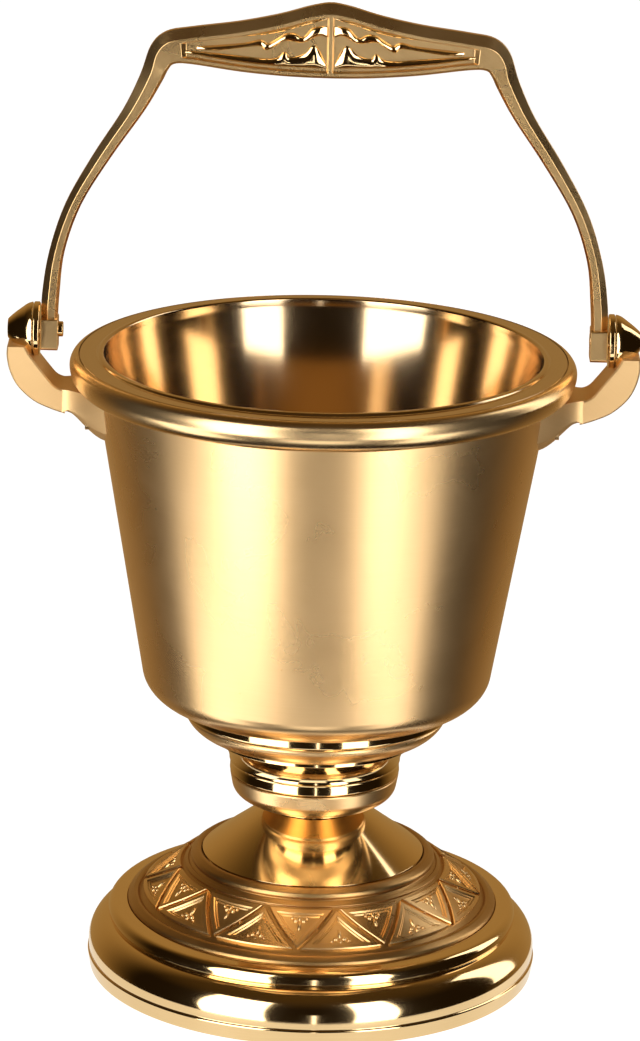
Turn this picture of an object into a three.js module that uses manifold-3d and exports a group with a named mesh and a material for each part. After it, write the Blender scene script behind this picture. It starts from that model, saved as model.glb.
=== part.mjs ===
// A footed holy-water bucket with a swinging bail, as separate brass pieces on one tie rod.
// Millimetres, +Z up. The origin is the middle of the foot's resting edge, and the bail
// swings about a line parallel to X. The left-hand fittings are the right-hand ones turned
// half a turn about Z, because each of them is the same front and back.
import * as THREE from 'three';
import { mergeVertices } from 'three/addons/utils/BufferGeometryUtils.js';
import Module from 'manifold-3d';

const wasm = await Module();
wasm.setup();

// Clearances and fineness
const GAP = 0.3;
const BODY_SIDES = 36;
const SMALL_SIDES = 20;
const ARC_STEPS = 3;

// Foot: two rounded mouldings, then a cone that carries the frieze
const FOOT_RADIUS = 75.1;
const FOOT_HEIGHT = 56;
const FOOT_WALL = 3;
const RESTING_EDGE_INSET = 0.9;
const RESTING_EDGE_WIDTH = 4;
const LOWER_MOULDING_HEIGHT = 17.4;
const MOULDING_STEP = 7;
const UPPER_MOULDING_HEIGHT = 4.8;
const UPPER_MOULDING_WIDTH = 6.6;
const JUNCTION_GROOVE = 0.7;
const HUB_RADIUS = 16;
const HUB_THICKNESS = 7;

// Frieze: a cast band let into the cone, with a rounded bead along each edge
const FRIEZE_WIDTH = 24.3;
const FRIEZE_THICKNESS = 2.2;
const BEAD_WIDTH = 3.9;
const BEAD_HEIGHT = 0.7;
const FIELD_DEPTH = 0.7;

// Stem: neck ring, knop and under-dish
const NECK_RADIUS = 15.4;
const NECK_HEIGHT = 2.3;
const KNOP_BASE_RADIUS = 22.5;
const KNOP_RADIUS = 28.1;
const KNOP_HEIGHT = 23;
const KNOP_BAND_HEIGHT = 9;
const KNOP_TOP_RADIUS = 34.1;
const KNOP_LIP = 1.2;
const DISH_RADIUS = 45.3;
const DISH_HEIGHT = 12;
const DISH_STEP_HEIGHT = 3.8;
const STEM_WALL = 3;
const STEM_HUB_RADIUS = 8;

// Bucket shell, and the heavy ring rolled round its mouth
const BUCKET_HEIGHT = 108.6;
const BUCKET_BASE_RADIUS = 57.6;
const BUCKET_TOP_RADIUS = 74.4;
const BUCKET_CORNER = 10;
const BUCKET_WALL = 1.5;
const RIM_OVERHANG = 8;
const RIM_DROP = 3.1;
const RIM_HEIGHT = 10.6;

// Removable liner, hung by a flange in the rim
const LINER_RADIUS = 71;
const LINER_WALL = 1.2;
const LINER_TAPER = 0.21;
const LINER_FLANGE_THICKNESS = 1.2;
const LINER_BEAD_HEIGHT = 1;
const LINER_SEAT_RADIUS = 79.2;
const LINER_CORNER = 9;
const LINER_FLOOR_CLEARANCE = 2.2;

// Tie rod with its nuts and washers
const ROD_RADIUS = 3;
const NUT_HEIGHT = 5;
const NUT_RADIUS = 5.8;
const WASHER_RADIUS = 8;
const WASHER_THICKNESS = 1.2;
const ROD_PROUD = 1.2;

// Pivots: pin and thrust disc at each side
const PIVOT_OUTSET = 6.6;
const PIVOT_RISE = 7;
const PIN_RADIUS = 2.5;
const PIN_IN_LUG = 5.5;
const PIN_PROUD_RIGHT = 0.2;
const PIN_PROUD_LEFT = 1.6;
const DISC_RADIUS = 8.8;
const DISC_THICKNESS = 2;

// Lugs: gooseneck arms that flare on to the shell
const LUG_DEPTH = 17.2;
const LUG_ARM_WIDTH = 8;
const KNUCKLE_LENGTH = 8.2;
const ROOT_WIDTH = 46;
const ROOT_HEIGHT = 17.6;
const ROOT_EDGE = 1.6;
const RIVET_RADIUS = 2;
const RIVET_LENGTH = 7.5;
const RIVET_SPREAD = 8;
const RIVET_DROP = 11.5;

// Bail: two curved legs and a boat-shaped grip
const BAIL_HEIGHT = 109.2;
const LEG_DEPTH = 6;
const LEG_FOOT_WIDTH = 5.4;
const LEG_TOP_WIDTH = 8;
const LEG_STEPS = 9;
const EYE_WIDTH = 5.6;
const EYE_DEPTH = 9;
const EYE_DROP = 6.4;
const EYE_RISE = 4;
const EYE_CORNER = 1.4;
const GRIP_LENGTH = 120;
const GRIP_DEPTH = 8;
const GRIP_BELLY = 24.2;
const GRIP_END_DROP = 19.9;
const GRIP_SHOULDER_DROP = 9.4;

// Heights of the stack, from the resting edge up
const shoulderZ = LOWER_MOULDING_HEIGHT + UPPER_MOULDING_HEIGHT;
const neckZ = FOOT_HEIGHT + GAP;
const knopZ = neckZ + NECK_HEIGHT + GAP;
const dishZ = knopZ + KNOP_HEIGHT + GAP;
const bucketZ = dishZ + DISH_HEIGHT + GAP;
const shellTopZ = bucketZ + BUCKET_HEIGHT;
const rimBottomZ = shellTopZ - RIM_DROP;
const rimTopZ = rimBottomZ + RIM_HEIGHT;
const pivotZ = rimTopZ + PIVOT_RISE;
const floorZ = bucketZ + BUCKET_WALL;

// Radii that follow from the driving ones
const upperMouldingRadius = FOOT_RADIUS - MOULDING_STEP;
const friezeOuterRadius = upperMouldingRadius - UPPER_MOULDING_WIDTH;
const friezeInnerRadius = friezeOuterRadius - FRIEZE_WIDTH;
const rimRadius = BUCKET_TOP_RADIUS + RIM_OVERHANG;
const pivotX = rimRadius + PIVOT_OUTSET;
const boreRadius = ROD_RADIUS + GAP;

// Brass finishes: mirror polish, brushed satin and grainy cast; and plated steel
const polishedBrass = finish(0xd9a75a, 0.12);
const satinBrass = finish(0xd7a861, 0.34);
const castBrass = finish(0xcc9748, 0.28);
const platedSteel = finish(0xb9bcc0, 0.4);

function finish(color, roughness) {
  return new THREE.MeshStandardMaterial({ color, roughness, metalness: 1 });
}

function piece(name, geometry, material) {
  const mesh = new THREE.Mesh(geometry, material.clone());
  mesh.name = name;
  return mesh;
}

// A closed outline of radius and height, turned about the Z axis.
function turned(outline, sides = BODY_SIDES) {
  outline.closePath();
  const geometry = new THREE.LatheGeometry(outline.getPoints(ARC_STEPS), sides);
  return geometry.rotateX(Math.PI / 2);
}

// A flat washer-like ring, from z = 0 up.
function flatRing(outerRadius, innerRadius, thickness, sides = SMALL_SIDES) {
  const outline = new THREE.Path();
  outline.moveTo(innerRadius, 0);
  outline.lineTo(outerRadius, 0);
  outline.lineTo(outerRadius, thickness);
  outline.lineTo(innerRadius, thickness);
  return turned(outline, sides);
}

// A front-view shape of x and z, given a depth that is centred on y = 0.
function upright(shape, depth) {
  const geometry = new THREE.ExtrudeGeometry(shape, {
    depth,
    bevelEnabled: false,
    curveSegments: ARC_STEPS,
  });
  return geometry.translate(0, 0, -depth / 2).rotateX(Math.PI / 2);
}

// A round bar along X, from x = start to x = end.
function barAlongX(radius, start, end, sides = SMALL_SIDES) {
  const geometry = new THREE.CylinderGeometry(radius, radius, end - start, sides);
  return geometry.rotateZ(-Math.PI / 2).translate((start + end) / 2, 0, 0);
}

// A geometry as a solid that can be joined and cut.
function solid(geometry) {
  const bare = geometry.clone();
  bare.deleteAttribute('normal');
  bare.deleteAttribute('uv');
  const merged = mergeVertices(bare, 1e-4);
  const corners = merged.index.array;
  const kept = [];
  for (let i = 0; i < corners.length; i += 3) {
    const [a, b, c] = [corners[i], corners[i + 1], corners[i + 2]];
    if (a !== b && b !== c && c !== a) kept.push(a, b, c);
  }
  return new wasm.Manifold(new wasm.Mesh({
    numProp: 3,
    vertProperties: new Float32Array(merged.attributes.position.array),
    triVerts: new Uint32Array(kept),
  }));
}

function geometryOf(manifold) {
  const mesh = manifold.getMesh();
  const geometry = new THREE.BufferGeometry();
  geometry.setAttribute('position', new THREE.BufferAttribute(mesh.vertProperties, 3));
  geometry.setIndex(new THREE.BufferAttribute(mesh.triVerts, 1));
  return geometry;
}

// Height of the foot's cone at a radius: a straight slope from the shoulder to the hub.
function coneZ(radius) {
  const slope = (FOOT_HEIGHT - shoulderZ) / (friezeOuterRadius - HUB_RADIUS);
  return FOOT_HEIGHT - (radius - HUB_RADIUS) * slope;
}

// Outside radius of the bucket shell's straight taper at a height.
function shellRadius(z) {
  const share = (z - bucketZ - BUCKET_CORNER) / (BUCKET_HEIGHT - BUCKET_CORNER);
  return BUCKET_BASE_RADIUS + (BUCKET_TOP_RADIUS - BUCKET_BASE_RADIUS) * share;
}

// The foot is one hollow casting: mouldings, a recess for the frieze, cone and bored hub.
function footShell() {
  const restRadius = FOOT_RADIUS - RESTING_EDGE_INSET;
  const recess = FRIEZE_THICKNESS + GAP;
  const outerStop = friezeOuterRadius + GAP;
  const innerStop = friezeInnerRadius - GAP;
  const hubUnderside = FOOT_HEIGHT - HUB_THICKNESS;
  const outline = new THREE.Path();
  outline.moveTo(restRadius, 0);
  outline.lineTo(FOOT_RADIUS, LOWER_MOULDING_HEIGHT * 0.3);
  outline.bezierCurveTo(
    FOOT_RADIUS, LOWER_MOULDING_HEIGHT * 0.65,
    FOOT_RADIUS - 3, LOWER_MOULDING_HEIGHT * 0.9,
    upperMouldingRadius - JUNCTION_GROOVE, LOWER_MOULDING_HEIGHT,
  );
  outline.lineTo(upperMouldingRadius, LOWER_MOULDING_HEIGHT + JUNCTION_GROOVE);
  outline.quadraticCurveTo(upperMouldingRadius, shoulderZ - 0.4, outerStop, shoulderZ + GAP);
  outline.lineTo(outerStop, coneZ(outerStop) - recess);
  outline.lineTo(innerStop, coneZ(innerStop) - recess);
  outline.lineTo(innerStop, coneZ(innerStop));
  outline.lineTo(HUB_RADIUS, FOOT_HEIGHT);
  outline.lineTo(boreRadius, FOOT_HEIGHT);
  outline.lineTo(boreRadius, hubUnderside);
  outline.lineTo(HUB_RADIUS, hubUnderside);
  outline.lineTo(outerStop - FOOT_WALL, coneZ(outerStop) - recess - FOOT_WALL);
  outline.lineTo(restRadius - RESTING_EDGE_WIDTH, LOWER_MOULDING_HEIGHT - FOOT_WALL);
  outline.lineTo(restRadius - RESTING_EDGE_WIDTH, 0);
  return piece('foot_shell', turned(outline), polishedBrass);
}

// The frieze band lies in its recess: a low field between two beads.
function friezeRing() {
  const fieldOuter = friezeOuterRadius - BEAD_WIDTH;
  const fieldInner = friezeInnerRadius + BEAD_WIDTH;
  const outline = new THREE.Path();
  outline.moveTo(friezeOuterRadius, coneZ(friezeOuterRadius) - FRIEZE_THICKNESS);
  outline.lineTo(friezeOuterRadius, coneZ(friezeOuterRadius));
  bead(outline, friezeOuterRadius, fieldOuter);
  outline.lineTo(fieldOuter, coneZ(fieldOuter) - FIELD_DEPTH);
  outline.lineTo(fieldInner, coneZ(fieldInner) - FIELD_DEPTH);
  outline.lineTo(fieldInner, coneZ(fieldInner));
  bead(outline, fieldInner, friezeInnerRadius);
  outline.lineTo(friezeInnerRadius, coneZ(friezeInnerRadius) - FRIEZE_THICKNESS);
  return piece('frieze_ring', turned(outline), castBrass);
}

// One rounded bead across the cone's line, from an outer radius in to an inner one.
function bead(outline, outerRadius, innerRadius) {
  const middle = (outerRadius + innerRadius) / 2;
  const crest = coneZ(middle) + 2 * BEAD_HEIGHT;
  outline.quadraticCurveTo(middle, crest, innerRadius, coneZ(innerRadius));
}

function neckRing() {
  const outline = new THREE.Path();
  outline.moveTo(boreRadius, neckZ);
  outline.lineTo(HUB_RADIUS, neckZ);
  outline.quadraticCurveTo(NECK_RADIUS - 0.8, neckZ + NECK_HEIGHT / 2, NECK_RADIUS, neckZ + NECK_HEIGHT);
  outline.lineTo(boreRadius, neckZ + NECK_HEIGHT);
  return piece('neck_ring', turned(outline), polishedBrass);
}

// The knop: a rounded satin band below, a hollow above, and an annular pocket inside.
function knop() {
  const top = knopZ + KNOP_HEIGHT;
  const bandTop = knopZ + KNOP_BAND_HEIGHT;
  const outline = new THREE.Path();
  outline.moveTo(boreRadius, knopZ);
  outline.lineTo(KNOP_BASE_RADIUS, knopZ);
  outline.quadraticCurveTo(KNOP_RADIUS, knopZ + KNOP_BAND_HEIGHT * 0.25, KNOP_RADIUS, bandTop);
  outline.quadraticCurveTo(KNOP_RADIUS + 0.4, top - KNOP_LIP * 5, KNOP_TOP_RADIUS, top - KNOP_LIP);
  outline.lineTo(KNOP_TOP_RADIUS, top);
  outline.lineTo(KNOP_RADIUS - STEM_WALL, top);
  outline.lineTo(KNOP_BASE_RADIUS - STEM_WALL, knopZ + STEM_WALL);
  outline.lineTo(STEM_HUB_RADIUS, knopZ + STEM_WALL);
  outline.lineTo(STEM_HUB_RADIUS, top);
  outline.lineTo(boreRadius, top);
  return piece('knop', turned(outline), polishedBrass);
}

// The under-dish carries the bucket: a rounded underside, then an upright polished step.
function underDish() {
  const top = dishZ + DISH_HEIGHT;
  const stepZ = top - DISH_STEP_HEIGHT;
  const outline = new THREE.Path();
  outline.moveTo(boreRadius, dishZ);
  outline.lineTo(KNOP_TOP_RADIUS, dishZ);
  outline.quadraticCurveTo(DISH_RADIUS - 3, dishZ + 2.6, DISH_RADIUS, stepZ);
  outline.lineTo(DISH_RADIUS, top);
  outline.lineTo(DISH_RADIUS - STEM_WALL, top);
  outline.lineTo(KNOP_TOP_RADIUS, dishZ + STEM_WALL);
  outline.lineTo(STEM_HUB_RADIUS, dishZ + STEM_WALL);
  outline.lineTo(STEM_HUB_RADIUS, top);
  outline.lineTo(boreRadius, top);
  return piece('under_dish', turned(outline), satinBrass);
}

// Where each lug rivet runs: parallel to X, at these places across and up.
function rivetPlaces() {
  const z = rimBottomZ - GAP - RIVET_DROP;
  return [-RIVET_SPREAD, RIVET_SPREAD].map((y) => ({ y, z }));
}

// The spun shell, drilled for the four lug rivets.
function bucketShell() {
  const cornerZ = bucketZ + BUCKET_CORNER;
  const cornerRadius = BUCKET_BASE_RADIUS - BUCKET_CORNER;
  const outline = new THREE.Path();
  outline.moveTo(boreRadius, bucketZ);
  outline.absarc(cornerRadius, cornerZ, BUCKET_CORNER, -Math.PI / 2, 0, false);
  outline.lineTo(BUCKET_TOP_RADIUS, shellTopZ);
  outline.lineTo(BUCKET_TOP_RADIUS - BUCKET_WALL, shellTopZ);
  outline.lineTo(BUCKET_BASE_RADIUS - BUCKET_WALL, cornerZ);
  outline.absarc(cornerRadius, cornerZ, BUCKET_CORNER - BUCKET_WALL, 0, -Math.PI / 2, true);
  outline.lineTo(boreRadius, floorZ);
  let shell = solid(turned(outline));
  for (const { y, z } of rivetPlaces()) {
    const drill = barAlongX(RIVET_RADIUS + GAP, -rimRadius, rimRadius);
    shell = shell.subtract(solid(drill.translate(0, y, z)));
  }
  return piece('bucket_shell', geometryOf(shell), satinBrass);
}

// The rim: a fat rounded ring over the shell's edge, stepped inside for the liner's flange.
function rimRing() {
  const seatZ = rimTopZ - LINER_FLANGE_THICKNESS - GAP;
  const socketRadius = BUCKET_TOP_RADIUS + GAP;
  const outline = new THREE.Path();
  outline.moveTo(socketRadius, rimBottomZ);
  outline.lineTo(rimRadius - 4.6, rimBottomZ);
  outline.bezierCurveTo(
    rimRadius - 1.6, rimBottomZ + 0.6,
    rimRadius, rimBottomZ + RIM_HEIGHT * 0.35,
    rimRadius, rimBottomZ + RIM_HEIGHT * 0.62,
  );
  outline.quadraticCurveTo(rimRadius - 0.2, rimTopZ - 0.6, LINER_SEAT_RADIUS + GAP, rimTopZ);
  outline.lineTo(LINER_SEAT_RADIUS + GAP, seatZ);
  outline.lineTo(BUCKET_TOP_RADIUS - BUCKET_WALL, seatZ);
  outline.lineTo(BUCKET_TOP_RADIUS - BUCKET_WALL, shellTopZ + GAP);
  outline.lineTo(socketRadius, shellTopZ + GAP);
  return piece('rim_ring', turned(outline), polishedBrass);
}

// The liner: a plain tapered bowl with a bead round its mouth and a flat flange.
function liner() {
  const flangeZ = rimTopZ - LINER_FLANGE_THICKNESS;
  const nutTop = floorZ + GAP + WASHER_THICKNESS + GAP + NUT_HEIGHT + ROD_PROUD;
  const bottomZ = nutTop + LINER_FLOOR_CLEARANCE;
  const cornerZ = bottomZ + LINER_CORNER;
  const wallRadius = LINER_RADIUS - (flangeZ - cornerZ) * LINER_TAPER;
  const cornerRadius = wallRadius - LINER_CORNER;
  const outline = new THREE.Path();
  outline.moveTo(0, bottomZ);
  outline.absarc(cornerRadius, cornerZ, LINER_CORNER, -Math.PI / 2, 0, false);
  outline.lineTo(LINER_RADIUS + LINER_WALL, flangeZ);
  outline.lineTo(LINER_SEAT_RADIUS, flangeZ);
  outline.lineTo(LINER_SEAT_RADIUS, rimTopZ);
  outline.lineTo(LINER_RADIUS + 2.4, rimTopZ);
  outline.quadraticCurveTo(LINER_RADIUS + 1, rimTopZ + 2 * LINER_BEAD_HEIGHT, LINER_RADIUS, flangeZ);
  outline.lineTo(wallRadius - LINER_WALL, cornerZ);
  outline.absarc(cornerRadius, cornerZ, LINER_CORNER - LINER_WALL, 0, -Math.PI / 2, true);
  outline.lineTo(0, bottomZ + LINER_WALL);
  return piece('liner', turned(outline), satinBrass);
}

// The rod runs from under the foot's hub to above the bucket's floor, a nut at each end.
function tieRodSet() {
  const hubUnderside = FOOT_HEIGHT - HUB_THICKNESS;
  const lowWasherZ = hubUnderside - GAP - WASHER_THICKNESS;
  const lowNutZ = lowWasherZ - GAP - NUT_HEIGHT;
  const highWasherZ = floorZ + GAP;
  const highNutZ = highWasherZ + WASHER_THICKNESS + GAP;
  const rodStart = lowNutZ - ROD_PROUD;
  const rodEnd = highNutZ + NUT_HEIGHT + ROD_PROUD;
  const rod = new THREE.CylinderGeometry(ROD_RADIUS, ROD_RADIUS, rodEnd - rodStart, SMALL_SIDES);
  rod.rotateX(Math.PI / 2).translate(0, 0, (rodStart + rodEnd) / 2);
  const set = new THREE.Group();
  set.add(piece('tie_rod', rod, platedSteel));
  for (const [name, z] of [['lower_washer', lowWasherZ], ['upper_washer', highWasherZ]]) {
    const washer = piece(name, flatRing(WASHER_RADIUS, boreRadius, WASHER_THICKNESS), platedSteel);
    washer.position.z = z;
    set.add(washer);
  }
  for (const [name, z] of [['lower_nut', lowNutZ], ['upper_nut', highNutZ]]) {
    const nut = piece(name, hexNut(), platedSteel);
    nut.position.z = z;
    set.add(nut);
  }
  return set;
}

function hexNut() {
  const corners = [];
  for (let i = 0; i < 6; i += 1) {
    const angle = (i * Math.PI) / 3;
    corners.push(new THREE.Vector2(NUT_RADIUS * Math.cos(angle), NUT_RADIUS * Math.sin(angle)));
  }
  const shape = new THREE.Shape(corners);
  const bore = new THREE.Path();
  bore.absarc(0, 0, boreRadius, 0, 2 * Math.PI, true);
  shape.holes.push(bore);
  return new THREE.ExtrudeGeometry(shape, {
    depth: NUT_HEIGHT,
    bevelEnabled: false,
    curveSegments: SMALL_SIDES / 2,
  });
}

// The gooseneck seen from the front: down from the knuckle, under the rim, on to the shell.
function lugSideShape() {
  const inside = pivotX + EYE_WIDTH / 2 + 2 * GAP + DISC_THICKNESS;
  const outside = inside + LUG_ARM_WIDTH;
  const rootTop = rimBottomZ - GAP;
  const rootBottom = rootTop - ROOT_HEIGHT;
  const buried = shellRadius(rootBottom) - 6;
  const shape = new THREE.Shape();
  shape.moveTo(inside, pivotZ - DISC_RADIUS - 0.4);
  shape.quadraticCurveTo(inside - 5, rootTop + 2, shellRadius(rootTop) + 7, rootTop - 4);
  shape.lineTo(shellRadius(rootTop) + 3, rootTop);
  shape.lineTo(buried, rootTop);
  shape.lineTo(buried, rootBottom);
  shape.lineTo(shellRadius(rootBottom) + 0.5, rootBottom);
  shape.bezierCurveTo(
    shellRadius(rootTop) + 4, rootBottom + 1.6,
    shellRadius(rootTop) + 5, rootBottom + 4,
    shellRadius(rootTop) + 9, rootBottom + 5.4,
  );
  shape.quadraticCurveTo(outside - 3, rootBottom + 9, outside - 1.4, rootTop + 3);
  shape.quadraticCurveTo(outside, pivotZ - 9, outside - 0.4, pivotZ - 4.8);
  shape.lineTo(inside + 2.6, pivotZ - 4.8);
  return shape;
}

// The gooseneck seen from above: one width along the arm, flaring out round the shell.
function lugPlanShape() {
  const wall = shellRadius(rimBottomZ);
  const flareEdge = Math.sqrt(wall ** 2 - (ROOT_WIDTH / 2) ** 2) + ROOT_EDGE;
  const buried = wall - 14;
  const half = LUG_DEPTH / 2;
  const right = new THREE.Path();
  right.moveTo(buried, ROOT_WIDTH / 2);
  right.lineTo(flareEdge, ROOT_WIDTH / 2);
  right.quadraticCurveTo(wall, half, wall + 11, half);
  right.lineTo(pivotX + 2 * LUG_ARM_WIDTH, half);
  const side = right.getPoints(2 * ARC_STEPS);
  const other = side.map((point) => new THREE.Vector2(point.x, -point.y)).reverse();
  return new THREE.Shape([...side, ...other]);
}

// The knuckle at the top of a lug: a dome along X that backs the thrust disc.
function knuckle(start) {
  const outline = new THREE.Path();
  outline.moveTo(0, 0);
  outline.lineTo(DISC_RADIUS, 0);
  outline.quadraticCurveTo(DISC_RADIUS * 0.72, KNUCKLE_LENGTH * 0.94, 0, KNUCKLE_LENGTH);
  const geometry = new THREE.LatheGeometry(outline.getPoints(ARC_STEPS + 2), SMALL_SIDES);
  return geometry.rotateZ(-Math.PI / 2).translate(start, 0, pivotZ);
}

// The shell's tapered outside with clearance, to cut a lug's seat on it.
function shellCutter() {
  const low = rimBottomZ - 3 * ROOT_HEIGHT;
  const outline = new THREE.Path();
  outline.moveTo(0, low);
  outline.lineTo(shellRadius(low) + GAP, low);
  outline.lineTo(shellRadius(rimTopZ) + GAP, rimTopZ);
  outline.lineTo(0, rimTopZ);
  return solid(turned(outline));
}

function lugGeometry() {
  const knuckleX = pivotX + EYE_WIDTH / 2 + 2 * GAP + DISC_THICKNESS;
  const arm = solid(upright(lugSideShape(), 2 * ROOT_WIDTH));
  const plan = new THREE.ExtrudeGeometry(lugPlanShape(), { depth: pivotZ, bevelEnabled: false });
  let lug = arm.intersect(solid(plan)).subtract(shellCutter());
  lug = lug.add(solid(knuckle(knuckleX)));
  const pinEnd = knuckleX + PIN_IN_LUG + GAP;
  const pinDrill = barAlongX(PIN_RADIUS + GAP, pivotX, pinEnd).translate(0, 0, pivotZ);
  lug = lug.subtract(solid(pinDrill));
  for (const { y, z } of rivetPlaces()) {
    const drill = barAlongX(RIVET_RADIUS + GAP, 0, rivetX() + RIVET_LENGTH + GAP);
    lug = lug.subtract(solid(drill.translate(0, y, z)));
  }
  return geometryOf(lug);
}

// Where a rivet starts, filed flush with the shell's curved inside wall.
function rivetX() {
  const { y, z } = rivetPlaces()[1];
  const facet = Math.cos(Math.PI / BODY_SIDES);
  const inside = (shellRadius(z) - BUCKET_WALL) * facet;
  return Math.sqrt(inside ** 2 - (y + RIVET_RADIUS) ** 2);
}

// The fittings of one side: lug, two rivets, thrust disc and pivot pin.
function sideFittings(side, turn, pinProud) {
  const set = new THREE.Group();
  set.rotation.z = turn;
  set.add(piece(`lug_${side}`, lugGeometry(), castBrass));
  rivetPlaces().forEach(({ y, z }, index) => {
    const shank = barAlongX(RIVET_RADIUS, rivetX(), rivetX() + RIVET_LENGTH);
    const rivet = piece(`lug_rivet_${side}_${index + 1}`, shank, satinBrass);
    rivet.position.set(0, y, z);
    set.add(rivet);
  });
  const discX = pivotX + EYE_WIDTH / 2 + GAP;
  const disc = flatRing(DISC_RADIUS, PIN_RADIUS + GAP, DISC_THICKNESS);
  const thrustDisc = piece(`thrust_disc_${side}`, disc.rotateY(Math.PI / 2), polishedBrass);
  thrustDisc.position.set(discX, 0, pivotZ);
  set.add(thrustDisc);
  const pinStart = pivotX - EYE_WIDTH / 2 - pinProud;
  const pinEnd = discX + DISC_THICKNESS + GAP + PIN_IN_LUG;
  const pin = piece(`pivot_pin_${side}`, barAlongX(PIN_RADIUS, pinStart, pinEnd), polishedBrass);
  pin.position.z = pivotZ;
  set.add(pin);
  return set;
}

// Middle line of a bail leg, as x and height over the pivots, from the eye up to the grip.
function legLine() {
  const gripEnd = GRIP_LENGTH / 2 - LEG_TOP_WIDTH / 2;
  const top = BAIL_HEIGHT - GRIP_BELLY;
  return new THREE.CubicBezierCurve(
    new THREE.Vector2(pivotX, 0),
    new THREE.Vector2(pivotX, top * 0.5),
    new THREE.Vector2(gripEnd + (pivotX - gripEnd) * 0.37, top * 0.72),
    new THREE.Vector2(gripEnd, top),
  );
}

function legShape() {
  const line = legLine();
  const outer = [];
  const inner = [];
  for (let i = 0; i <= LEG_STEPS; i += 1) {
    const share = i / LEG_STEPS;
    const middle = line.getPoint(share);
    const along = line.getTangent(share);
    const half = (LEG_FOOT_WIDTH + (LEG_TOP_WIDTH - LEG_FOOT_WIDTH) * share ** 2) / 2;
    outer.push(new THREE.Vector2(middle.x + along.y * half, middle.y - along.x * half));
    inner.push(new THREE.Vector2(middle.x - along.y * half, middle.y + along.x * half));
  }
  return new THREE.Shape([...outer, ...inner.reverse()]);
}

// The flat-sided eye at the foot of a leg, with rounded lower corners.
function eyeShape() {
  const left = pivotX - EYE_WIDTH / 2;
  const right = pivotX + EYE_WIDTH / 2;
  const shape = new THREE.Shape();
  shape.moveTo(left, EYE_RISE);
  shape.lineTo(left, EYE_CORNER - EYE_DROP);
  shape.quadraticCurveTo(left, -EYE_DROP, left + EYE_CORNER, -EYE_DROP);
  shape.lineTo(right - EYE_CORNER, -EYE_DROP);
  shape.quadraticCurveTo(right, -EYE_DROP, right, EYE_CORNER - EYE_DROP);
  shape.lineTo(right, EYE_RISE);
  return shape;
}

// The grip: an ogee top that rises to a peak, rounded shoulders and a bowed underside.
function gripShape() {
  const end = GRIP_LENGTH / 2;
  const shoulder = BAIL_HEIGHT - GRIP_SHOULDER_DROP;
  const endZ = BAIL_HEIGHT - GRIP_END_DROP;
  const bellyZ = BAIL_HEIGHT - GRIP_BELLY;
  const half = new THREE.Path();
  half.moveTo(0, bellyZ);
  half.quadraticCurveTo(end * 0.45, bellyZ, end - LEG_TOP_WIDTH - 0.6, endZ);
  half.lineTo(end - LEG_TOP_WIDTH, bellyZ - 1.4);
  half.lineTo(end - 0.6, bellyZ + 1.4);
  half.bezierCurveTo(end - 2, shoulder - 6, end - 4.5, shoulder - 1, end - 11, shoulder);
  half.quadraticCurveTo(end / 3, shoulder + 3, 2, BAIL_HEIGHT);
  half.lineTo(0, BAIL_HEIGHT);
  const right = half.getPoints(2 * ARC_STEPS);
  const left = right.map((point) => new THREE.Vector2(-point.x, point.y)).reverse();
  return new THREE.Shape([...right, ...left.slice(1, -1)]);
}

// The bail, in one piece, with an eye bored for each pin.
function bail() {
  let whole = solid(upright(gripShape(), GRIP_DEPTH));
  for (const turn of [0, Math.PI]) {
    const leg = upright(legShape(), LEG_DEPTH).rotateZ(turn);
    const eye = upright(eyeShape(), EYE_DEPTH).rotateZ(turn);
    whole = whole.add(solid(leg)).add(solid(eye));
  }
  const reach = pivotX + EYE_WIDTH;
  whole = whole.subtract(solid(barAlongX(PIN_RADIUS + GAP, -reach, reach)));
  const handle = piece('bail_handle', geometryOf(whole), castBrass);
  handle.position.z = pivotZ;
  return handle;
}

const group = new THREE.Group();
group.name = 'holy_water_bucket';
group.add(footShell(), friezeRing(), neckRing(), knop(), underDish());
group.add(bucketShell(), rimRing(), liner(), tieRodSet());
group.add(sideFittings('right', 0, PIN_PROUD_RIGHT), sideFittings('left', Math.PI, PIN_PROUD_LEFT));
group.add(bail());

export default group;
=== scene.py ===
import math

import bmesh
import bpy
from mathutils import Matrix, Vector
from mathutils.geometry import interpolate_bezier


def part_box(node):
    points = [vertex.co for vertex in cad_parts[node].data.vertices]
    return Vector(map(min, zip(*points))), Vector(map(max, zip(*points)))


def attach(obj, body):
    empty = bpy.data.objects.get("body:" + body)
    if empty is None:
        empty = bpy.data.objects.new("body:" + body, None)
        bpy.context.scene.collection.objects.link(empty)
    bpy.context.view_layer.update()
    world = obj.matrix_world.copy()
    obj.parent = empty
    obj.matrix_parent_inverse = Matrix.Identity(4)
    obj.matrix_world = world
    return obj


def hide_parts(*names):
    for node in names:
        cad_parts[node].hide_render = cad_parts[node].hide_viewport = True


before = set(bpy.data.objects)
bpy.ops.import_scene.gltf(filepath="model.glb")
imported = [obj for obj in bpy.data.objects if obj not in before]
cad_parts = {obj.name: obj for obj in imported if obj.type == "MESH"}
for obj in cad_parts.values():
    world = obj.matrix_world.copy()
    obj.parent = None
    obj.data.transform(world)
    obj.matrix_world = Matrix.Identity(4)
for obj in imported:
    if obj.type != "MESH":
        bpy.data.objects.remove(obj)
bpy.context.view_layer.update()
mm = 0.001
scene = bpy.context.scene

# ---- Camera ----
# A long lens a little above the rim looks down on the mouth, so that the far wall of
# the liner and the top of the foot both show. It leans by about a degree.
camera_data = bpy.data.cameras.new("camera")
camera_data.lens = 171.77
camera_data.sensor_width = 36
camera_data.clip_end = 60
camera = bpy.data.objects.new("camera", camera_data)
scene.collection.objects.link(camera)
camera.matrix_world = (Matrix.Translation((0, -1.55826, 0.62807))
                       @ Matrix.Rotation(math.radians(73.1), 4, "X")
                       @ Matrix.Rotation(0.0224, 4, "Z"))
scene.camera = camera
scene.view_settings.view_transform = "Standard"

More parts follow.
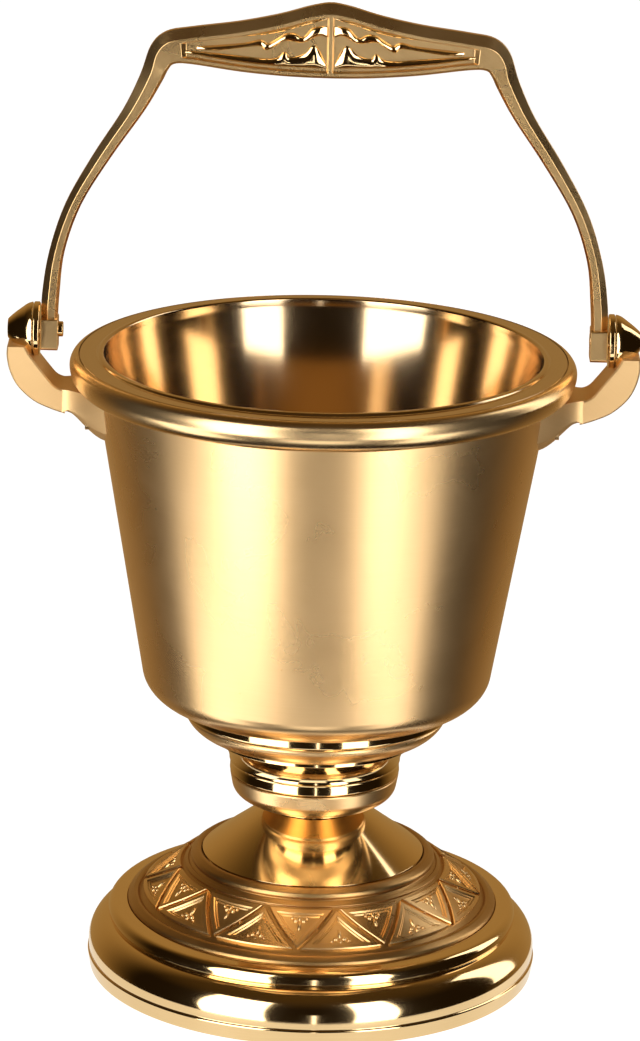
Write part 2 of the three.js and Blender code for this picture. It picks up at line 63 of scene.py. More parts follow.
# ---- Studio ----
# A white floor and surround, two tall soft panels in front with a narrow one between
# them, and one behind on the right. The polished metal mirrors a dim warm room.
floor_radius = 8
bm = bmesh.new()
bmesh.ops.create_circle(bm, cap_ends=True, segments=96, radius=floor_radius)
floor_mesh = bpy.data.meshes.new("floor")
bm.to_mesh(floor_mesh)
bm.free()
floor = bpy.data.objects.new("floor", floor_mesh)
scene.collection.objects.link(floor)
floor.visible_glossy = False
floor.visible_shadow = False
floor_paint = bpy.data.materials.new("floor_paint")
floor_paint.use_nodes = True
floor_shader = floor_paint.node_tree.nodes["Principled BSDF"]
floor_shader.inputs["Base Color"].default_value = (0.3, 0.3, 0.3, 1)
floor_shader.inputs["Roughness"].default_value = 0.9
floor_shader.inputs["Emission Color"].default_value = (1, 1, 1, 1)
floor_shader.inputs["Emission Strength"].default_value = 0.96
floor_mesh.materials.append(floor_paint)

# The strip of bright table right round the foot, which only the foot's edge mirrors.
bm = bmesh.new()
bmesh.ops.create_circle(bm, cap_ends=True, segments=96, radius=92 * mm)
table_mesh = bpy.data.meshes.new("table_glow")
bm.to_mesh(table_mesh)
bm.free()
table_glow = bpy.data.objects.new("table_glow", table_mesh)
table_glow.location.z = -0.2 * mm
scene.collection.objects.link(table_glow)
table_glow.visible_camera = False
table_glow.visible_diffuse = False
table_glow.visible_shadow = False
glow_paint = bpy.data.materials.new("table_glow_paint")
glow_paint.use_nodes = True
glow_shader = glow_paint.node_tree.nodes["Principled BSDF"]
glow_shader.inputs["Base Color"].default_value = (0, 0, 0, 1)
glow_shader.inputs["Emission Color"].default_value = (1, 0.96, 0.9, 1)
glow_shader.inputs["Emission Strength"].default_value = 0.85
table_mesh.materials.append(glow_paint)

world = bpy.data.worlds.new("studio")
scene.world = world
world.use_nodes = True
nodes = world.node_tree.nodes
links = world.node_tree.links
nodes.clear()
direction = nodes.new("ShaderNodeTexCoord")
split = nodes.new("ShaderNodeSeparateXYZ")
links.new(direction.outputs["Generated"], split.inputs[0])
behind = nodes.new("ShaderNodeMapRange")
behind.interpolation_type = "SMOOTHSTEP"
behind.inputs["From Min"].default_value = 0.1
behind.inputs["From Max"].default_value = 0.95
behind.inputs["To Min"].default_value = 0.012
behind.inputs["To Max"].default_value = 0.36
links.new(split.outputs["Y"], behind.inputs["Value"])
overhead = nodes.new("ShaderNodeMapRange")
overhead.interpolation_type = "SMOOTHSTEP"
overhead.inputs["From Min"].default_value = 0.45
overhead.inputs["From Max"].default_value = 1.0
overhead.inputs["To Min"].default_value = 0.0
overhead.inputs["To Max"].default_value = 0.05
links.new(split.outputs["Z"], overhead.inputs["Value"])
room = nodes.new("ShaderNodeMath")
room.operation = "ADD"
links.new(behind.outputs[0], room.inputs[0])
links.new(overhead.outputs[0], room.inputs[1])
mirrored = nodes.new("ShaderNodeBackground")
links.new(room.outputs[0], mirrored.inputs["Strength"])
room_tint = nodes.new("ShaderNodeMix")
room_tint.data_type = "RGBA"
room_tint.inputs["A"].default_value = (1, 0.56, 0.15, 1)
room_tint.inputs["B"].default_value = (1, 0.74, 0.36, 1)
links.new(room.outputs[0], room_tint.inputs["Factor"])
links.new(room_tint.outputs["Result"], mirrored.inputs["Color"])
surround = nodes.new("ShaderNodeBackground")
surround.inputs["Color"].default_value = (1, 1, 1, 1)
surround.inputs["Strength"].default_value = 1.0
ray = nodes.new("ShaderNodeLightPath")
chooser = nodes.new("ShaderNodeMixShader")
links.new(ray.outputs["Is Camera Ray"], chooser.inputs[0])
links.new(mirrored.outputs[0], chooser.inputs[1])
links.new(surround.outputs[0], chooser.inputs[2])
world_output = nodes.new("ShaderNodeOutputWorld")
links.new(chooser.outputs[0], world_output.inputs["Surface"])


def soft_panel(name, azimuth, half_angle, low, high, brightness, distance=2.4):
    """A tall soft light that faces the object from an azimuth, measured from the front."""
    turn = math.radians(azimuth)
    panel = bpy.data.lights.new(name, "AREA")
    panel.shape = "RECTANGLE"
    panel.size = 2 * distance * math.tan(math.radians(half_angle))
    panel.size_y = high - low
    panel.energy = brightness * 4 * panel.size * panel.size_y
    panel.color = (1, 0.97, 0.92)
    lamp = bpy.data.objects.new(name, panel)
    lamp.location = (distance * math.sin(turn), -distance * math.cos(turn), (low + high) / 2)
    facing = Vector((-math.sin(turn), math.cos(turn), 0))
    lamp.rotation_euler = facing.to_track_quat("-Z", "Y").to_euler()
    lamp.visible_camera = False
    scene.collection.objects.link(lamp)


soft_panel("panel_left", -39, 17, -1.6, 2.6, 3.1)
soft_panel("panel_right", 34, 11, -1.6, 2.6, 3.1)
soft_panel("panel_right_rear", 114, 10, -0.2, 2.6, 1.6)
soft_panel("panel_middle", 2.5, 0.9, -1.4, 0.3, 2.5)
# The lit table well in front of the object, which the tapered body mirrors.
soft_panel("table_left", -74, 16, -3.4, -1.3, 1.9)
soft_panel("table_middle", -2, 20, -3.4, -1.9, 1.15)
soft_panel("table_right", 58, 12, -3.4, -1.3, 1.65)

# ---- Foot ----
# A hollow casting, turned all over and polished: a plain edge band, two rounded
# mouldings, and a cone up to the hub. The frieze lies in a recess in the cone.


def turned(name, corners, steps=256):
    """A round piece spun about the Z axis. A corner is a radius, a height and a rounding, in mm."""
    bm = bmesh.new()
    spin_outline(bm, corners, steps)
    return made(name, bm)


def spin_outline(bm, corners, steps):
    """Adds an outline of rounded corners to a bmesh and spins it about the Z axis."""
    outline = [bm.verts.new((radius * mm, 0, height * mm)) for radius, height, _ in corners]
    for one, following in zip(outline, outline[1:]):
        bm.edges.new((one, following))
    if corners[0][0] > 0:
        bm.edges.new((outline[-1], outline[0]))
    for vert, (_, _, rounding) in zip(outline, corners):
        if rounding:
            bmesh.ops.bevel(bm, geom=[vert], offset=rounding * mm, offset_type="OFFSET",
                            segments=14 if rounding > 1.5 else 5, profile=0.5,
                            affect="VERTICES", material=-1)
    bmesh.ops.spin(bm, geom=bm.verts[:] + bm.edges[:], cent=(0, 0, 0), axis=(0, 0, 1),
                   angle=2 * math.pi, steps=steps, use_merge=True)


def made(name, bm):
    """The finished object of a bmesh: doubles merged, faces outwards, shaded smooth."""
    bmesh.ops.remove_doubles(bm, verts=bm.verts, dist=0.002 * mm)
    bmesh.ops.recalc_face_normals(bm, faces=bm.faces)
    mesh = bpy.data.meshes.new(name)
    bm.to_mesh(mesh)
    bm.free()
    mesh.shade_smooth()
    mesh.set_sharp_from_angle(angle=math.radians(38))
    piece = bpy.data.objects.new(name, mesh)
    scene.collection.objects.link(piece)
    even = piece.modifiers.new("even_shading", "WEIGHTED_NORMAL")
    even.keep_sharp = True
    return piece


def node_group(name, inputs, outputs):
    """An empty shader group with number inputs and number or colour outputs."""
    group = bpy.data.node_groups.new(name, "ShaderNodeTree")
    for socket_name, start in inputs:
        socket = group.interface.new_socket(socket_name, in_out="INPUT", socket_type="NodeSocketFloat")
        socket.default_value = start
    for socket_name in outputs:
        group.interface.new_socket(socket_name, in_out="OUTPUT", socket_type="NodeSocketFloat")
    return group, group.nodes.new("NodeGroupInput"), group.nodes.new("NodeGroupOutput")


def arithmetic(tree, operation, first, second):
    """A math node in a tree, fed by sockets or plain numbers."""
    node = tree.nodes.new("ShaderNodeMath")
    node.operation = operation
    for socket, value in zip(node.inputs, (first, second)):
        if isinstance(value, (int, float)):
            socket.default_value = value
        else:
            tree.links.new(value, socket)
    return node.outputs[0]


# Lacquer haze: soft smears and finger marks that dull a finish here and there.
haze, haze_in, haze_out = node_group(
    "lacquer_haze", (("Size", 40), ("Roughness", 0.1), ("Spread", 0.1)), ("Roughness", "Tone"))
haze_place = haze.nodes.new("ShaderNodeTexCoord")
smears = haze.nodes.new("ShaderNodeTexNoise")
smears.inputs["Detail"].default_value = 4
smears.inputs["Distortion"].default_value = 0.6
haze.links.new(haze_place.outputs["Object"], smears.inputs["Vector"])
haze.links.new(haze_in.outputs["Size"], smears.inputs["Scale"])
haze_share = arithmetic(haze, "MULTIPLY", smears.outputs["Fac"], haze_in.outputs["Spread"])
haze_roughness = arithmetic(haze, "ADD", haze_share, haze_in.outputs["Roughness"])
haze.links.new(haze_roughness, haze_out.inputs["Roughness"])
haze.links.new(smears.outputs["Fac"], haze_out.inputs["Tone"])

# Turning marks: fine lines round the Z axis, left by the lathe tool and the brush.
marks, marks_in, marks_out = node_group(
    "turning_marks", (("Lines", 3000), ("Length", 30), ("Depth", 0.00001)), ("Height", "Tone"))
marks_place = marks.nodes.new("ShaderNodeTexCoord")
marks_split = marks.nodes.new("ShaderNodeSeparateXYZ")
marks.links.new(marks_place.outputs["Object"], marks_split.inputs[0])
x_squared = arithmetic(marks, "MULTIPLY", marks_split.outputs["X"], marks_split.outputs["X"])
y_squared = arithmetic(marks, "MULTIPLY", marks_split.outputs["Y"], marks_split.outputs["Y"])
from_axis = arithmetic(marks, "SQRT", arithmetic(marks, "ADD", x_squared, y_squared), 0)
across = arithmetic(marks, "ADD", arithmetic(marks, "MULTIPLY", from_axis, 0.8), marks_split.outputs["Z"])
marks_join = marks.nodes.new("ShaderNodeCombineXYZ")
for axis, (place, stretch) in enumerate(((marks_split.outputs["X"], "Length"),
                                         (marks_split.outputs["Y"], "Length"), (across, "Lines"))):
    stretched = arithmetic(marks, "MULTIPLY", place, marks_in.outputs[stretch])
    marks.links.new(stretched, marks_join.inputs[axis])
lines = marks.nodes.new("ShaderNodeTexNoise")
lines.inputs["Scale"].default_value = 1
lines.inputs["Detail"].default_value = 3
marks.links.new(marks_join.outputs[0], lines.inputs["Vector"])
line_height = arithmetic(marks, "MULTIPLY", lines.outputs["Fac"], marks_in.outputs["Depth"])
marks.links.new(line_height, marks_out.inputs["Height"])
marks.links.new(lines.outputs["Fac"], marks_out.inputs["Tone"])

# Casting grain: the fine pebbled skin that a sand mould leaves.
grain, grain_in, grain_out = node_group(
    "casting_grain", (("Size", 1500), ("Depth", 0.00003)), ("Height", "Tone"))
grain_place = grain.nodes.new("ShaderNodeTexCoord")
pebbles = grain.nodes.new("ShaderNodeTexNoise")
pebbles.inputs["Detail"].default_value = 5
pebbles.inputs["Roughness"].default_value = 0.62
grain.links.new(grain_place.outputs["Object"], pebbles.inputs["Vector"])
grain.links.new(grain_in.outputs["Size"], pebbles.inputs["Scale"])
pebble_height = arithmetic(grain, "MULTIPLY", pebbles.outputs["Fac"], grain_in.outputs["Depth"])
grain.links.new(pebble_height, grain_out.inputs["Height"])
grain.links.new(pebbles.outputs["Fac"], grain_out.inputs["Tone"])


def metal(name, pale, deep, roughness, smear, line_depth, grain_depth, line_count=3000,
          grain_size=1500, brushed=0.0):
    """A metal finish: haze varies its tone and gloss, and lines and grain roughen it."""
    material = bpy.data.materials.new(name)
    material.use_nodes = True
    tree = material.node_tree
    shader = tree.nodes["Principled BSDF"]
    shader.inputs["Metallic"].default_value = 1
    haze_node = tree.nodes.new("ShaderNodeGroup")
    haze_node.node_tree = haze
    haze_node.inputs["Roughness"].default_value = roughness
    haze_node.inputs["Spread"].default_value = smear
    tree.links.new(haze_node.outputs["Roughness"], shader.inputs["Roughness"])
    marks_node = tree.nodes.new("ShaderNodeGroup")
    marks_node.node_tree = marks
    marks_node.inputs["Lines"].default_value = line_count
    marks_node.inputs["Depth"].default_value = line_depth
    grain_node = tree.nodes.new("ShaderNodeGroup")
    grain_node.node_tree = grain
    grain_node.inputs["Size"].default_value = grain_size
    grain_node.inputs["Depth"].default_value = grain_depth
    tone = tree.nodes.new("ShaderNodeMix")
    tone.data_type = "RGBA"
    tone.inputs["A"].default_value = (*deep, 1)
    tone.inputs["B"].default_value = (*pale, 1)
    tone_share = arithmetic(tree, "ADD", arithmetic(tree, "MULTIPLY", haze_node.outputs["Tone"], 0.6),
                            arithmetic(tree, "MULTIPLY", marks_node.outputs["Tone"], 0.4))
    tree.links.new(tone_share, tone.inputs["Factor"])
    tree.links.new(tone.outputs["Result"], shader.inputs["Base Color"])
    bump = tree.nodes.new("ShaderNodeBump")
    bump.inputs["Strength"].default_value = 1
    bump.inputs["Distance"].default_value = 1
    height = arithmetic(tree, "ADD", marks_node.outputs["Height"], grain_node.outputs["Height"])
    tree.links.new(height, bump.inputs["Height"])
    tree.links.new(bump.outputs["Normal"], shader.inputs["Normal"])
    if brushed:
        shader.inputs["Anisotropic"].default_value = brushed
        along = tree.nodes.new("ShaderNodeTangent")
        along.direction_type = "RADIAL"
        along.axis = "Z"
        tree.links.new(along.outputs[0], shader.inputs["Tangent"])
    return material


def finish(piece, material, slot, body, *replaced):
    """Gives a piece its material and puts it on its body in place of its CAD nodes. The slot is not used.
    """
    piece.data.materials.append(material)
    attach(piece, body)
    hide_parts(*replaced)
    return piece


polished_brass = metal("polished_brass", (0.96, 0.72, 0.40), (0.88, 0.62, 0.30), 0.05, 0.08, 0.0000012, 0)

foot_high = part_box("foot_shell")[1]
frieze_low, frieze_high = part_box("frieze_ring")
foot_radius = foot_high.x / mm
foot_height = foot_high.z / mm
frieze_thickness = 2.2
frieze_outer = frieze_high.x / mm
shoulder_z = frieze_low.z / mm + frieze_thickness
hub_radius = 16
cone_slope = (foot_height - shoulder_z) / (frieze_outer - hub_radius)
cone_angle = math.atan(cone_slope)
frieze_width = 24.3
frieze_inner = frieze_outer - frieze_width
hub_thickness = 7
fit = 0.3
rod_bore = 3.3


def on_cone(radius, raised):
    """A place on the foot's cone at a radius, raised square to its surface: radius and height."""
    height = foot_height - (radius - hub_radius) * cone_slope
    return radius + raised * math.sin(cone_angle), height + raised * math.cos(cone_angle)


foot = turned("foot", [
    (foot_radius - 0.9, 0, 0.3),
    (foot_radius - 0.1, 5.0, 0.35),
    (foot_radius - 0.7, 5.5, 0.15),
    (foot_radius - 0.55, 6.4, 0.3),
    (foot_radius - 0.3, 15.4, 7.2),
    (foot_radius - 7.7, 17.4, 0.25),
    (foot_radius - 7.1, 18.2, 0.25),
    (foot_radius - 7.0, 21.9, 2.4),
    (frieze_outer + fit, shoulder_z + 0.35, 0.2),
    (*on_cone(frieze_outer + fit, -frieze_thickness - fit), 0),
    (*on_cone(frieze_inner - fit, -frieze_thickness - fit), 0),
    (*on_cone(frieze_inner - fit, 0), 0.15),
    (hub_radius, foot_height, 0.2),
    (rod_bore, foot_height, 0),
    (rod_bore, foot_height - hub_thickness, 0.3),
    (hub_radius - 1, foot_height - hub_thickness, 1.5),
    (frieze_outer - 2.7, shoulder_z - 5.4, 4),
    (foot_radius - 5.6, 13.6, 2.5),
    (foot_radius - 5.2, 0, 0.5),
])
finish(foot, polished_brass, "polished_brass", "bucket", "foot_shell")

# ---- Frieze ----
# A cast band let into the cone: a grainy bead along each edge, and between them twelve
# upright and twelve hanging triangles, each a raised frame round a small leaf.
cast_brass = metal("cast_brass", (0.94, 0.66, 0.34), (0.72, 0.45, 0.17), 0.2, 0.16, 0, 0.00003)
# The band, its sunk field and its beads alike, gets a much darker brass than the raised triangles: painted
# shade for the sunk field.
shaded_field_brass = metal("shaded_field_brass", (0.74, 0.47, 0.20), (0.34, 0.19, 0.06), 0.24, 0.14, 0, 0.00005)
field = -0.75
bead_crown = 1.0
frieze = turned("frieze_band", [
    (*on_cone(frieze_outer, -frieze_thickness), 0),
    (*on_cone(frieze_outer, bead_crown), 1.35),
    (*on_cone(frieze_outer - 3.4, bead_crown), 1.35),
    (*on_cone(frieze_outer - 3.5, field), 0.15),
    (*on_cone(frieze_inner + 5.9, field), 0.1),
    (*on_cone(frieze_inner + 5.8, field + 0.55), 0.2),
    (*on_cone(frieze_inner + 4.6, field + 0.55), 0.2),
    (*on_cone(frieze_inner + 4.5, field), 0.1),
    (*on_cone(frieze_inner + 3.5, field), 0.15),
    (*on_cone(frieze_inner + 3.4, bead_crown), 1.35),
    (*on_cone(frieze_inner, bead_crown), 1.35),
    (*on_cone(frieze_inner, -frieze_thickness), 0),
], steps=288)
finish(frieze, shaded_field_brass, "cast_brass", "bucket", "frieze_ring")


def wrap(bm, azimuth):
    """Bends flat work on to the cone: x is degrees round, y a radius and z a height above it."""
    for vert in bm.verts:
        turn = math.radians(azimuth + vert.co.x)
        radius, height = on_cone(vert.co.y, vert.co.z)
        vert.co = Vector((radius * math.sin(turn), -radius * math.cos(turn), height)) * mm


degree_length = 0.97


def framed_triangle(azimuth, tip_radius, base_radius, half_base):
    """A raised triangular frame round a leaf, on the frieze's field. Its base is in degrees."""
    bm = bmesh.new()
    corners = [bm.verts.new((x * degree_length, y, 0)) for x, y in
               ((0, tip_radius), (half_base, base_radius), (-half_base, base_radius))]
    bm.faces.new(corners)
    centre = bm.faces[:]
    outer_chamfer = ((0.25, 0.95), (0.25, 0.35))
    bar_and_ledge = ((1.05, 0), (0.3, -0.55), (0.35, 0), (0.25, -0.45))
    for width, rise in outer_chamfer + bar_and_ledge:
        bmesh.ops.inset_individual(bm, faces=centre, thickness=width, depth=0, use_even_offset=True)
        for vert in {vert for face in centre for vert in face.verts}:
            vert.co.z += rise
    rim = [edge for edge in bm.edges if len(edge.link_faces) == 1]
    skirt = bmesh.ops.extrude_edge_only(bm, edges=rim)["geom"]
    for vert in skirt:
        if isinstance(vert, bmesh.types.BMVert):
            vert.co.z -= 0.6
    bmesh.ops.holes_fill(bm, edges=[edge for edge in bm.edges if len(edge.link_faces) == 1])
    bmesh.ops.subdivide_edges(bm, edges=bm.edges[:], cuts=1, use_grid_fill=True)
    bmesh.ops.subdivide_edges(bm, edges=[e for e in bm.edges if e.calc_length() > 1.6], cuts=7,
                              use_grid_fill=True)
    inward = 1 if base_radius > tip_radius else -1
    for across, down, long, wide in motif:
        pearl = bmesh.ops.create_uvsphere(bm, u_segments=14, v_segments=8, radius=1)["verts"]
        for vert in pearl:
            vert.co.x = across + vert.co.x * wide
            vert.co.y = base_radius - inward * down + vert.co.y * long
            vert.co.z = 0.05 + vert.co.z * 0.85
    for vert in bm.verts:
        vert.co.x /= degree_length
        vert.co.z += field
    wrap(bm, azimuth)
    return bm


# Each leaf is a trefoil on a short stem, and small knobs mark the middle of the frame's bars.
# A motif part is its place across and down from the base, its length and its width, in mm.
motif = ((0, 4.9, 1.5, 0.75), (-1.5, 3.3, 0.7, 1.05), (1.5, 3.3, 0.7, 1.05), (0, 2.5, 0.95, 0.6),
         (-2.9, 2.6, 0.45, 0.7), (2.9, 2.6, 0.45, 0.7), (-1.15, 0.75, 0.62, 0.62), (1.15, 0.75, 0.62, 0.62),
         (-6.4, 5.5, 0.7, 0.7), (6.4, 5.5, 0.7, 0.7))
triangle_pairs = 12
relief = bmesh.new()
for pair in range(triangle_pairs):
    upright_azimuth = 10.5 + pair * 360 / triangle_pairs
    hanging_azimuth = upright_azimuth - 180 / triangle_pairs
    for part in (framed_triangle(upright_azimuth, 44.5, 56.3, 13.7),
                 framed_triangle(hanging_azimuth, 55.9, 44.1, 13.5)):
        loose = bpy.data.meshes.new("triangle")
        part.to_mesh(loose)
        part.free()
        relief.from_mesh(loose)
        bpy.data.meshes.remove(loose)
triangles = made("frieze_triangles", relief)
finish(triangles, cast_brass, "cast_brass", "bucket", "frieze_ring")

# ---- Stem ----
# Three turned pieces stand on the foot: a short neck ring, a knop with a satin band under
# a polished hollow, and a dish with a polished step that carries the bucket.
satin_brass = metal("satin_brass", (0.93, 0.64, 0.34), (0.85, 0.56, 0.26), 0.24, 0.08, 0.000006, 0,
                    line_count=2600, brushed=0.55)
neck_low, neck_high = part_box("neck_ring")
neck = turned("neck", [
    (rod_bore, neck_low.z / mm, 0),
    (neck_high.x / mm, neck_low.z / mm, 0.25),
    (neck_high.x / mm - 1.0, (neck_low.z + neck_high.z) / 2 / mm, 0.7),
    (neck_high.x / mm - 0.5, neck_high.z / mm, 0.2),
    (rod_bore, neck_high.z / mm, 0),
])
finish(neck, polished_brass, "polished_brass", "bucket", "neck_ring")

knop_low, knop_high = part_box("knop")
knop_z = knop_low.z / mm
knop_top = knop_high.z / mm
knop_radius = 28.1
knop_lip = knop_high.x / mm
knop = turned("knop_hollow", [
    (knop_radius - 0.5, knop_z + 9.3, 0.15),
    (knop_radius + 0.1, knop_z + 9.8, 0.3),
    (knop_radius - 0.1, knop_z + 13.2, 0.8),
    (knop_radius + 0.3, knop_z + 13.7, 0.25),
    (knop_radius + 0.3, knop_z + 16.8, 4.0),
    (knop_lip - 1.6, knop_top - 1.5, 0.7),
    (knop_lip, knop_top - 1.3, 0.25),
    (knop_lip, knop_top, 0.25),
    (knop_radius - 3, knop_top, 0.5),
    (knop_radius - 3, knop_z + 9.3, 0),
])
finish(knop, polished_brass, "polished_brass", "bucket", "knop")
knop_band = turned("knop_band", [
    (rod_bore, knop_z, 0),
    (22.5, knop_z, 0.3),
    (23.3, knop_z + 0.8, 0.3),
    (knop_radius - 1.4, knop_z + 1.6, 3.2),
    (knop_radius, knop_z + 9.1, 0.5),
    (knop_radius - 3, knop_z + 9.1, 0),
    (19.5, knop_z + 3, 2),
    (8, knop_z + 3, 0.6),
    (8, knop_top, 0.4),
    (rod_bore, knop_top, 0),
])
finish(knop_band, satin_brass, "satin_brass", "bucket", "knop")

dish_low, dish_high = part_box("under_dish")
dish_z = dish_low.z / mm
dish_top = dish_high.z / mm
dish_radius = dish_high.x / mm
step_height = 3.8
step_z = dish_top - step_height
dish = turned("dish", [
    (rod_bore, dish_z, 0),
    (knop_lip, dish_z, 0.4),
    (dish_radius - 3.4, dish_z + 2.2, 4.4),
    (dish_radius - 2.0, step_z - 1.6, 0.8),
    (dish_radius - 2.6, step_z - 0.6, 0.4),
    (dish_radius - 3, step_z - 0.6, 0),
    (knop_lip, dish_z + 3, 3),
    (8, dish_z + 3, 0.5),
    (8, dish_top, 0.4),
    (rod_bore, dish_top, 0),
])
finish(dish, satin_brass, "satin_brass", "bucket", "under_dish")
dish_step = turned("dish_step", [
    (dish_radius - 3, step_z - 0.55, 0),
    (dish_radius - 1.2, step_z - 0.55, 0.25),
    (dish_radius, step_z + 0.4, 0.5),
    (dish_radius, dish_top, 0.35),
    (dish_radius - 3, dish_top, 0.2),
])
finish(dish_step, polished_brass, "polished_brass", "bucket", "under_dish")

# ---- Tie rod ----
# A plated steel rod runs up the middle of foot, knop and dish, with a nut and a washer
# at each end. It only shows from below and, with the liner out, on the bucket's floor.
plated_steel = metal("plated_steel", (0.62, 0.62, 0.60), (0.50, 0.50, 0.49), 0.36, 0.12, 0.000004, 0.00001)
for node in ("tie_rod", "lower_washer", "upper_washer", "lower_nut", "upper_nut"):
    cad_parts[node].data.materials.clear()
    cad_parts[node].data.materials.append(plated_steel)

# ---- Bucket ----
# A spun shell of brass sheet with a rounded heel, tapered and brushed round its outside.
bucket_low, bucket_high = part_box("bucket_shell")
bucket_z = bucket_low.z / mm
shell_top = bucket_high.z / mm
top_radius = bucket_high.x / mm
base_radius = 57.6
shell_wall = 1.5
shell = turned("bucket_body", [
    (rod_bore, bucket_z, 0),
    (base_radius - 1.5, bucket_z, 9.0),
    (top_radius, shell_top, 0.3),
    (top_radius - shell_wall, shell_top, 0.3),
    (base_radius - 3, bucket_z + shell_wall, 8),
    (rod_bore, bucket_z + shell_wall, 0),
])
finish(shell, satin_brass, "satin_brass", "bucket", "bucket_shell")

# ---- Rim ----
# A heavy ring turned from brass and finely brushed, pushed over the edge of the shell.
# Its outside is a fat roll, and a step inside carries the flange of the liner.
rim_low, rim_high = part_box("rim_ring")
rim_z = rim_low.z / mm
rim_top = rim_high.z / mm
rim_radius = rim_high.x / mm
liner_low, liner_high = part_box("liner")
flange_radius = liner_high.x / mm
flange_z = rim_top - 1.2
rim = turned("rim", [
    (top_radius + fit, rim_z, 0.4),
    (rim_radius - 4.2, rim_z, 2.6),
    (rim_radius, rim_z + 3.4, 3.6),
    (rim_radius, rim_top - 0.6, 2.9),
    (flange_radius + fit, rim_top, 0.25),
    (flange_radius + fit, flange_z - fit, 0),
    (top_radius - shell_wall, flange_z - fit, 0),
    (top_radius - shell_wall, shell_top + fit, 0),
    (top_radius + fit, shell_top + fit, 0),
], steps=320)
brushed_brass = metal("brushed_brass", (0.94, 0.68, 0.37), (0.86, 0.59, 0.29), 0.2, 0.08, 0.000004, 0,
                      line_count=2200, brushed=0.5)
finish(rim, brushed_brass, "polished_brass", "bucket", "rim_ring")

# ---- Liner ----
# A plain spun bowl that lifts out for filling, with a bead round its mouth and a flat
# flange that lies in the rim. It is half polished, with brush lines round the wall.
liner_brass = metal("liner_brass", (0.80, 0.60, 0.37), (0.68, 0.49, 0.28), 0.09, 0.06, 0.000003, 0,
                    line_count=1800, brushed=0.3)
liner_z = liner_low.z / mm
liner_radius = 71
liner_wall = 1.2
liner_corner = 9
liner_taper = 0.21
wall_radius = liner_radius - (flange_z - liner_z - liner_corner) * liner_taper
liner = turned("liner_bowl", [
    (0, liner_z, 0),
    (wall_radius, liner_z, 7.5),
    (liner_radius + liner_wall, flange_z - 1.2, 1.0),
    (flange_radius, flange_z, 0.15),
    (flange_radius, rim_top, 0.2),
    (liner_radius + 2.7, rim_top, 0.3),
    (liner_radius + 1.9, rim_top + 1.0, 0.7),
    (liner_radius + 0.4, rim_top + 0.9, 0.7),
    (liner_radius, flange_z - 1, 0.8),
    (wall_radius - liner_wall, liner_z + liner_wall, 6.5),
    (0, liner_z + liner_wall, 0),
], steps=320)
finish(liner, liner_brass, "liner_brass", "liner", "liner")

# ---- Side lugs ----
# A cast gooseneck at each side: a knuckle behind the thrust disc, a flat-faced arm that
# curls in under the rim, and a fluted root that spreads round the shell and is riveted.
disc_low, disc_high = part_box("thrust_disc_right")
pin_low, pin_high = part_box("pivot_pin_right")
pivot_z = (pin_low.z + pin_high.z) / 2 / mm
disc_face = disc_high.x / mm + fit
lug_half_depth = 8.6
root_half_width = 22.0
root_sink = 0.6
heel_height = 10
collar_x = 84.5
collar_depth = 7.7
keel_fall = 9.6
under_rim = rim_z - fit - 0.2


def shell_radius(height):
    """Outside radius of the bucket's straight taper at a height, in mm."""
    share = (height - bucket_z - heel_height) / (shell_top - bucket_z - heel_height)
    return base_radius + (top_radius - base_radius) * share


def loft(bm, sections):
    """Skins a row of sections of equal length and closes both ends. Places are in mm."""
    rings = []
    for section in sections:
        ring = bmesh.ops.create_circle(bm, segments=len(section), radius=mm)["verts"]
        for vert, place in zip(ring, section):
            vert.co = Vector(place) * mm
        rings.append([vert.link_edges[0] for vert in ring] + [vert.link_edges[1] for vert in ring])
    for ring, following in zip(rings, rings[1:]):
        bmesh.ops.bridge_loops(bm, edges=list(set(ring + following)))
    for ring in (rings[0], rings[-1]):
        bmesh.ops.holes_fill(bm, edges=list(set(ring)))


def arm_section(outer, inner, edge=0.5):
    """A section across the arm, with softened corners, between its outer and inner edges."""
    (outer_x, outer_z), (inner_x, inner_z) = outer, inner
    section = []
    length = math.hypot(outer_x - inner_x, outer_z - inner_z)
    inset = edge / length
    side = 1 - edge / lug_half_depth
    for depth, share in ((-1, inset), (-1, 0.35), (-1, 0.65), (-1, 1 - inset), (-side, 1), (-0.5, 1),
                         (0, 1), (0.5, 1), (side, 1), (1, 1 - inset), (1, 0.65), (1, 0.35), (1, inset),
                         (side, 0), (0.5, 0), (0, 0), (-0.5, 0), (-side, 0)):
        section.append((inner_x + (outer_x - inner_x) * share, depth * lug_half_depth,
                        inner_z + (outer_z - inner_z) * share))
    return section


def smooth_row(points, steps):
    """Places along one smooth curve through a few points."""
    points = [Vector(point) for point in points]
    row = []
    for index in range(len(points) - 1):
        before = points[max(index - 1, 0)]
        start, end = points[index], points[index + 1]
        after = points[min(index + 2, len(points) - 1)]
        row += interpolate_bezier(start, start + (end - before) / 6, end - (after - start) / 6, end,
                                  steps + 1)[:-1]
    return row + [points[-1]]


def root_section(share):
    """A section across the root, from the collar (share 0) to the shell (share 1)."""
    half_width = lug_half_depth + (root_half_width - lug_half_depth) * share ** 1.7
    keel_z = under_rim - collar_depth - keel_fall * (3 * share ** 2 - 2 * share ** 3)
    flute = 2.4 * share
    lobe_lift = 4.6
    lobe_start = 0.86
    section = []
    along = 32
    for index in range(along + 1):
        across = -1 + 2 * index / along
        lobe = max(0, abs(across) - lobe_start) / (1 - lobe_start)
        lifted = (keel_z + lobe_lift * share * abs(across) ** 2.2
                  + flute * math.sin(2 * math.pi * across) ** 2
                  + (under_rim - keel_z) * 0.75 * lobe * share)
        section.append((across, lifted))
    for index in range(along + 1):
        across = 1 - 2 * index / along
        section.append((across * 0.995, under_rim - 0.001))
    ring = []
    for across, height in section:
        y = across * half_width
        wall = math.sqrt((shell_radius(height) - root_sink) ** 2 - y ** 2)
        ring.append((wall + (collar_x - wall) * (1 - share), y, height))
    return ring


